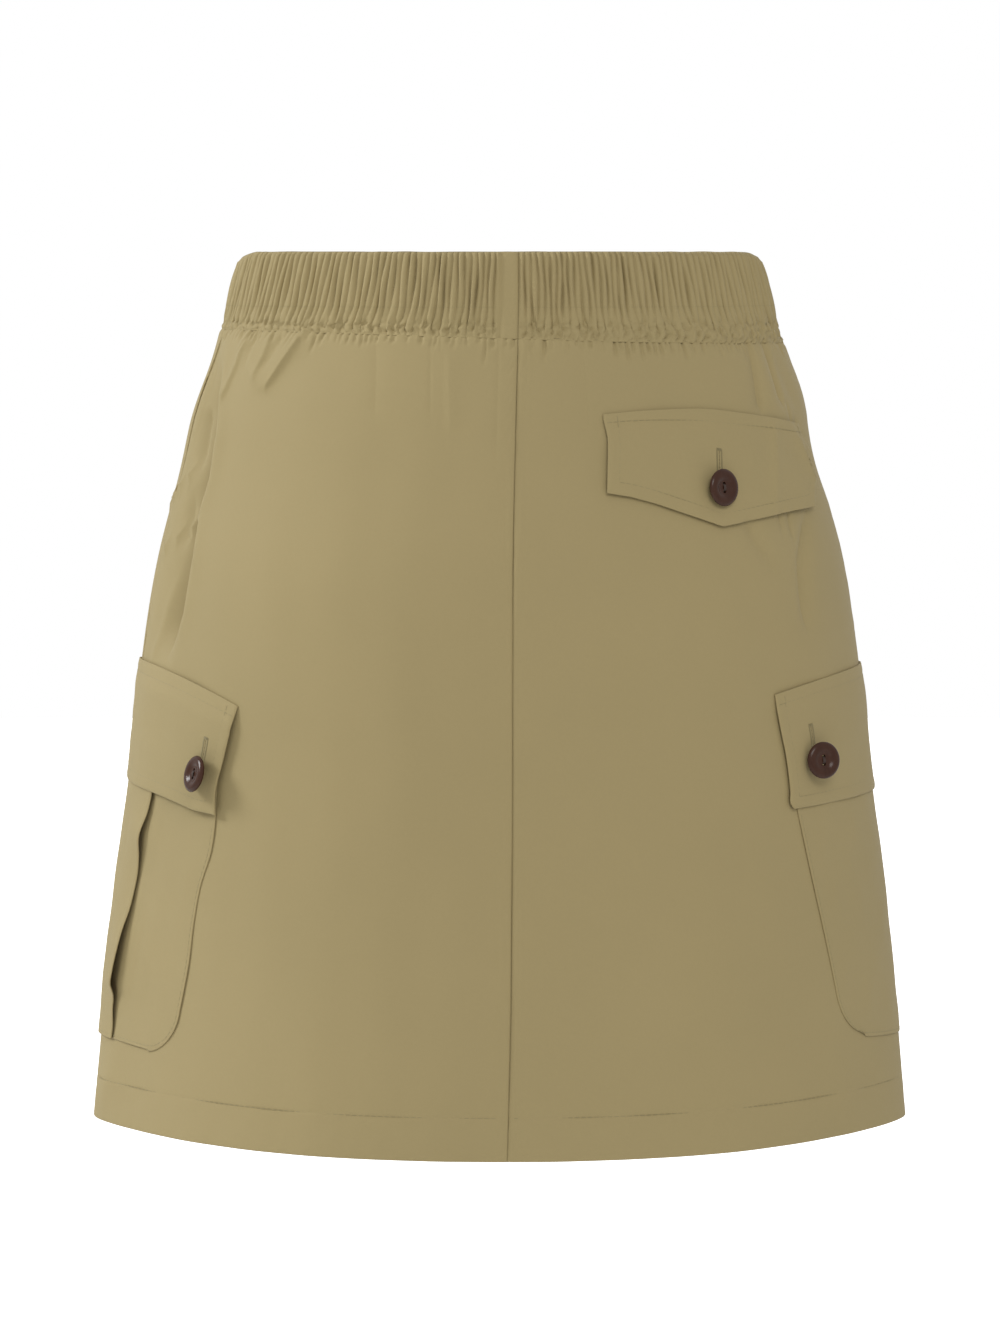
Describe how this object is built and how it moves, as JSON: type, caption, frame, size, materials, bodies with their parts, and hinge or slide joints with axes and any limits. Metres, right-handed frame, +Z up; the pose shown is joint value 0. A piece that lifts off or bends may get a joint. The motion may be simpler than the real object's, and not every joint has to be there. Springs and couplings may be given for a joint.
{
  "type": "cargo utility skirt",
  "caption": "Short A-line cotton skirt in its worn shape, with an elastic gathered waist, buttoned cargo pockets over the side seams and a pointed back flap.",
  "frame": {"origin": "centre of the waist at mid height of the elastic, where the wearer's waist holds the skirt up", "axes": "+Z up along the wearer, +X towards the wearer's right, +Y towards the wearer's front, so the back of the skirt faces -Y"},
  "size_m": [0.4066, 0.264, 0.4322],
  "materials": {
    "cloth": "khaki cotton twill, soft matt with a faint sheen",
    "button": "dark brown, half gloss"
  },
  "bodies": {
    "root": {"back_left_panel": "cloth", "back_right_panel": "cloth", "front_panel": "cloth", "waistband": "cloth", "cargo_pocket_left": "cloth", "cargo_pocket_right": "cloth", "cargo_flap_left": "cloth", "cargo_flap_right": "cloth", "back_pocket_flap": "cloth", "button_back_pocket": "button", "button_left_rear": "button", "button_left_front": "button", "button_right_rear": "button", "button_right_front": "button"}
  },
  "joints": []
}
